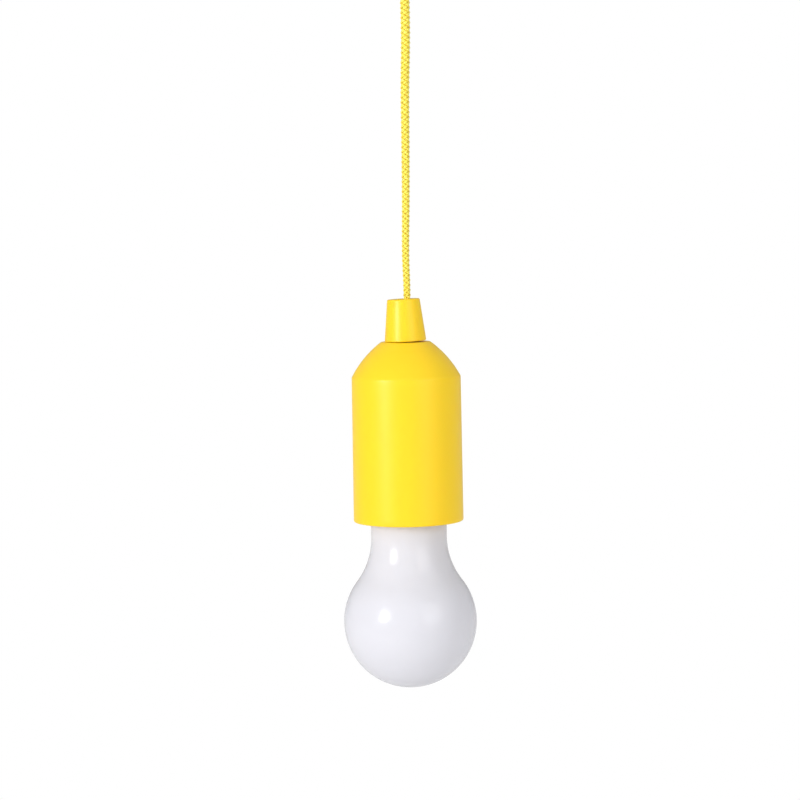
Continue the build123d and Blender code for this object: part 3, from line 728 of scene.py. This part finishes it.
outer_dome = dome_arc(shoulder_r, shoulder_z, crown_r, crown_z, dome_arc_r, 36)
inner_dome = dome_arc(bore_r, shoulder_z, crown_inner_r, roof_z, dome_arc_r - housing_wall, 24)
side_steps = 24
side = [
    (rim_r + (shoulder_r - rim_r) * i / side_steps, rim_z + (shoulder_z - rim_z) * i / side_steps)
    for i in range(side_steps)
]
housing_outline = side + outer_dome + [(crown_hole_r, crown_z), (crown_hole_r, roof_z)]
housing_outline += list(reversed(inner_dome)) + [(bore_r, rim_z)]
housing_rounds = {
    0: 0.7 * mm,
    side_steps: 2.0 * mm,
    side_steps + len(outer_dome) - 1: 0.45 * mm,
    len(housing_outline) - 1: 0.3 * mm,
}
housing = turned_shell("housing_body", rounded(housing_outline, housing_rounds, 4))
housing.data.materials.append(yellow_plastic)
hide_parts("housing_shell")
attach(housing, "housing")


# ---- Milky bulb ----
# Blown polycarbonate, frosted white and faintly blue: a straight neck, a concave sweep and a
# round globe. Its lip sits in the closing ring, out of sight.

globe_r = 30.0 * mm
globe_z = rim_z - 45.6 * mm
neck_r = 17.1 * mm
neck_sweep = 33.0 * mm
bulb_wall = 1.5 * mm
lip_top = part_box("bulb_diffuser")[1].z
lip_low = lip_top - 1.5 * mm
lip_r = 20.7 * mm
sweep_x = neck_r + neck_sweep
sweep_rise = sqrt((globe_r + neck_sweep) ** 2 - sweep_x**2)
join = atan2(sweep_rise, sweep_x)
globe_steps = 56
sweep_steps = 28
globe_turns = [-pi / 2 + (pi / 2 + join) * i / globe_steps for i in range(globe_steps + 1)]
sweep_turns = [pi + join * (1 - i / sweep_steps) for i in range(1, sweep_steps + 1)]
outer_globe = [(globe_r * cos(t), globe_z + globe_r * sin(t)) for t in globe_turns]
outer_globe[0] = (0, globe_z - globe_r)
outer_sweep = [
    (sweep_x + neck_sweep * cos(t), globe_z + sweep_rise + neck_sweep * sin(t)) for t in sweep_turns
]
inner_r = globe_r - bulb_wall
inner_sweep_r = neck_sweep + bulb_wall
inner_sweep = [
    (sweep_x + inner_sweep_r * cos(t), globe_z + sweep_rise + inner_sweep_r * sin(t))
    for t in reversed(sweep_turns)
]
inner_globe = [(inner_r * cos(t), globe_z + inner_r * sin(t)) for t in reversed(globe_turns)]
inner_globe[-1] = (0, globe_z - inner_r)
bulb_outline = outer_globe + outer_sweep
bulb_outline += [(neck_r, lip_low), (lip_r, lip_low), (lip_r, lip_top), (neck_r - bulb_wall, lip_top)]
bulb_outline += inner_sweep + inner_globe

milky, nodes, links, shader = surface(
    "milky_polycarbonate",
    (0.76, 0.755, 0.80),
    0.17,
    Subsurface_Weight=0.35,
    Subsurface_Scale=0.01,
    Specular_IOR_Level=0.5,
)
shader.inputs["Subsurface Radius"].default_value = (1.0, 0.9, 0.85)
frost = nodes.new("ShaderNodeGroup")
frost.node_tree = skin_group
frost.inputs["Grain Size"].default_value = 1600.0
milky_tones = nodes.new("ShaderNodeMix")
milky_tones.data_type = "RGBA"
milky_tones.inputs["A"].default_value = (0.745, 0.728, 0.785, 1)
milky_tones.inputs["B"].default_value = (0.77, 0.753, 0.805, 1)
links.new(frost.outputs["Flow"], milky_tones.inputs["Factor"])
links.new(milky_tones.outputs["Result"], shader.inputs["Base Color"])
frost_gloss = nodes.new("ShaderNodeMapRange")
frost_gloss.inputs["To Min"].default_value = 0.2
frost_gloss.inputs["To Max"].default_value = 0.14
links.new(frost.outputs["Rubs"], frost_gloss.inputs["Value"])
links.new(frost_gloss.outputs["Result"], shader.inputs["Roughness"])
frost_bump = nodes.new("ShaderNodeBump")
frost_bump.inputs["Strength"].default_value = 0.15
frost_bump.inputs["Distance"].default_value = 0.00002
links.new(frost.outputs["Grain"], frost_bump.inputs["Height"])
links.new(frost_bump.outputs["Normal"], shader.inputs["Normal"])

bulb = turned_shell("milky_bulb", bulb_outline)
bulb.data.materials.append(milky)
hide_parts("bulb_diffuser")
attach(bulb, "bulb")


# ---- Closing ring's thread ----
# The yellow ring screws into the housing's mouth. Its moulded thread is one low rounded ridge
# that winds round the ring below the seal's groove and fades out at both ends.

ring_low, ring_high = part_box("end_ring")
seal_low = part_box("seal_ring")[0]
ring_r = (ring_high.x - ring_low.x) / 2
thread_pitch = 3.0 * mm
thread_height = 0.24 * mm
thread_half_base = 0.75 * mm
thread_half_top = 0.3 * mm
thread_sink = 0.06 * mm
thread_start = ring_low.z + 1.2 * mm
thread_end = seal_low.z - 1.1 * mm
thread_steps = 240
thread_fade = 9
thread_end_rise = 0.05
thread_flank_base = 0.85
thread_flank_rise = 0.2
thread_turns = (thread_end - thread_start) / thread_pitch
thread_build = bmesh.new()
thread_rows = []
for i in range(thread_steps + 1):
    share = i / thread_steps
    turn = 2 * pi * thread_turns * share
    height = thread_start + (thread_end - thread_start) * share
    rise = thread_height * min(
        1.0, thread_fade * share + thread_end_rise, thread_fade * (1 - share) + thread_end_rise
    )
    section = (
        (ring_r - thread_sink, -thread_half_base),
        (ring_r + rise * thread_flank_rise, -thread_half_base * thread_flank_base),
        (ring_r + rise, -thread_half_top),
        (ring_r + rise, thread_half_top),
        (ring_r + rise * thread_flank_rise, thread_half_base * thread_flank_base),
        (ring_r - thread_sink, thread_half_base),
    )
    places = [(radius * cos(turn), radius * sin(turn), height + up) for radius, up in section]
    thread_rows.append([thread_build.verts.new(place) for place in places])
for low_row, high_row in zip(thread_rows, thread_rows[1:]):
    for j in range(len(low_row)):
        n = (j + 1) % len(low_row)
        thread_build.faces.new((low_row[j], low_row[n], high_row[n], high_row[j]))
thread_build.faces.new(thread_rows[0])
thread_build.faces.new(thread_rows[-1])
bmesh.ops.recalc_face_normals(thread_build, faces=thread_build.faces)
for face in thread_build.faces:
    face.smooth = len(face.verts) == 4
thread_mesh = bpy.data.meshes.new("ring_thread")
thread_build.to_mesh(thread_mesh)
thread_build.free()
thread = bpy.data.objects.new("ring_thread", thread_mesh)
scene.collection.objects.link(thread)
thread_mesh.materials.append(yellow_plastic)
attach(thread, "bulb")


# ---- Inner parts ----
# Hidden while the lamp is closed: switch, battery carrier and the bulb end's base. They keep the
# design's own shapes and get their real finishes.

inner_finish = {
    "white_plastic": moulded("white_nylon", (0.86, 0.86, 0.84), (0.80, 0.80, 0.77), 0.45),
    "black_plastic": moulded("black_abs", (0.035, 0.035, 0.038), (0.05, 0.05, 0.052), 0.4),
    "phenolic": moulded("pressed_phenolic", (0.36, 0.19, 0.09), (0.28, 0.14, 0.06), 0.5),
    "cell_case": moulded("cell_wrap", (0.10, 0.11, 0.12), (0.16, 0.17, 0.18), 0.3),
    "board_metal": moulded("coated_board", (0.85, 0.86, 0.86), (0.80, 0.81, 0.82), 0.35),
    "led_body": moulded("led_phosphor", (0.92, 0.78, 0.25), (0.85, 0.66, 0.15), 0.3),
    "rubber": moulded("black_rubber", (0.03, 0.03, 0.03), (0.045, 0.045, 0.045), 0.7),
    "wire_red": moulded("red_insulation", (0.5, 0.03, 0.02), (0.42, 0.02, 0.02), 0.45),
    "yellow_plastic": yellow_plastic,
    "yellow_cord": cord_yarn,
    "milky_plastic": milky,
    "steel": moulded("zinc_plated_steel", (0.62, 0.62, 0.64), (0.5, 0.5, 0.52), 0.32, Metallic=1.0),
    "spring_steel": moulded("drawn_spring_wire", (0.5, 0.5, 0.5), (0.4, 0.4, 0.41), 0.28, Metallic=1.0),
    "brass": moulded("stamped_brass", (0.78, 0.57, 0.22), (0.7, 0.48, 0.16), 0.3, Metallic=1.0),
}
for row in frame["record"]["subparts"]:
    node = frame["nodes"][row["node"]]
    node.data.materials.clear()
    node.data.materials.append(inner_finish[row["material_slot"]])


# ---- Return spring ----
# The coiled steel spring on the rod, between the bushing's flange and the slider. A pull on the
# lamp presses it together, towards the flange that it hangs from.

spring_node = frame["nodes"]["return_spring"]
spring = bpy.data.objects.new("coiled_spring", spring_node.data.copy())
spring.data.transform(spring_node.matrix_world)
scene.collection.objects.link(spring)
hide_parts("return_spring")
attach(spring, "housing")
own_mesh(spring)
